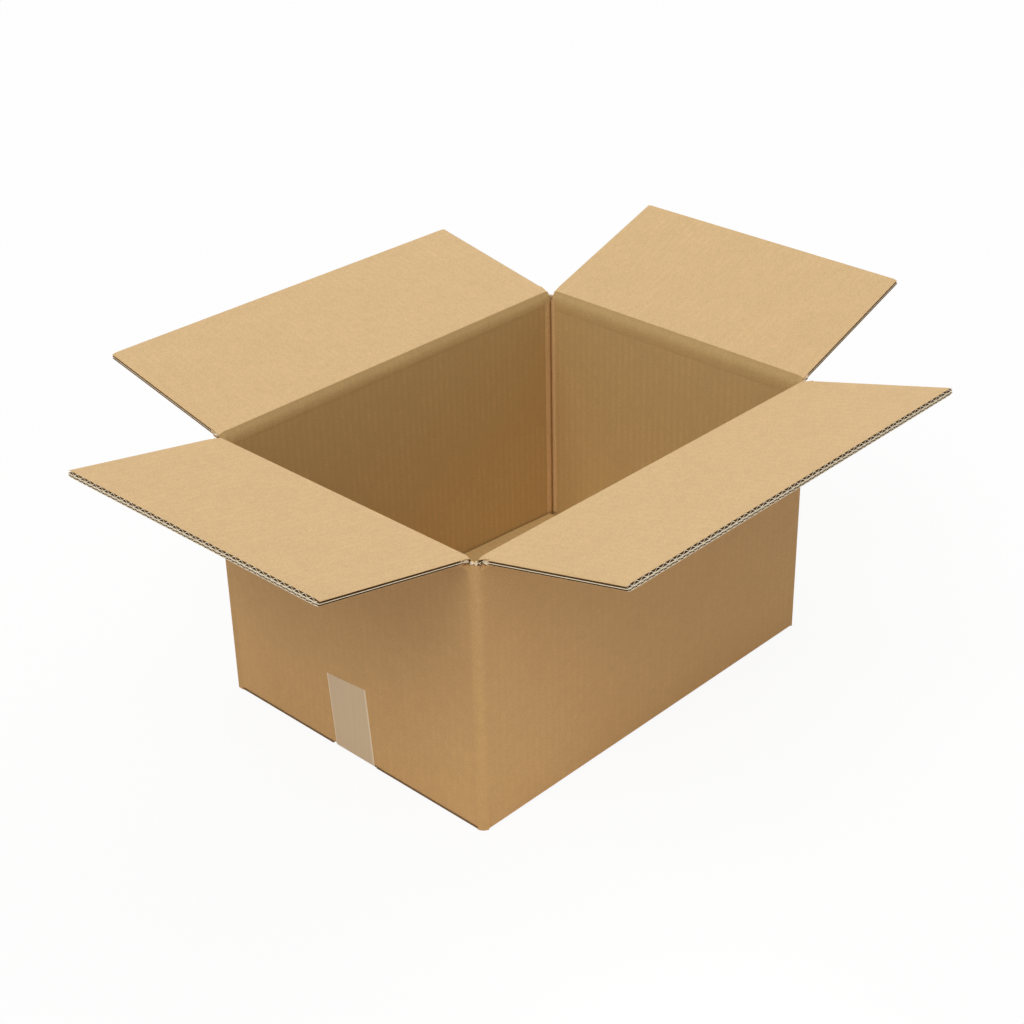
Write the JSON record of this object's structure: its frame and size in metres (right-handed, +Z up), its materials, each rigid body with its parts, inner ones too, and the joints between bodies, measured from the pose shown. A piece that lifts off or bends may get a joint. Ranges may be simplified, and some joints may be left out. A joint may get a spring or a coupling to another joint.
{
  "type": "open cardboard box",
  "caption": "Open shipping carton of double-wall corrugated board, taped bottom, with hinged top flaps spread outward.",
  "frame": {"origin": "centre of the underside of the carton, on the floor", "axes": "+Z up, +X along the long side of the carton towards the right short wall, +Y along the short side towards the back long wall"},
  "size_m": [0.7339, 0.6251, 0.3186],
  "materials": {
    "kraft_board": "matt brown kraft liner",
    "packing_tape": "thin buff film, soft sheen"
  },
  "bodies": {
    "carton": {"carton_body": "kraft_board", "bottom_tape": "packing_tape"},
    "flap_left": {"top_flap_left": "kraft_board"},
    "flap_right": {"top_flap_right": "kraft_board"},
    "flap_front": {"top_flap_front": "kraft_board"},
    "flap_back": {"top_flap_back": "kraft_board"}
  },
  "joints": [
    {"name": "flap_left_crease", "type": "hinge", "parent": "carton", "child": "flap_left", "pos_m": [-0.217, 0, 0.2581], "axis": [0, 1, 0], "range_deg": [-100.9, 169.1]},
    {"name": "flap_right_crease", "type": "hinge", "parent": "carton", "child": "flap_right", "pos_m": [0.217, 0, 0.2581], "axis": [0, -1, 0], "range_deg": [-109.4, 160.6]},
    {"name": "flap_front_crease", "type": "hinge", "parent": "carton", "child": "flap_front", "pos_m": [0, -0.1623, 0.2615], "axis": [-1, 0, 0], "range_deg": [-104, 166]},
    {"name": "flap_back_crease", "type": "hinge", "parent": "carton", "child": "flap_back", "pos_m": [0, 0.1623, 0.2615], "axis": [1, 0, 0], "range_deg": [-101.1, 168.9]}
  ]
}
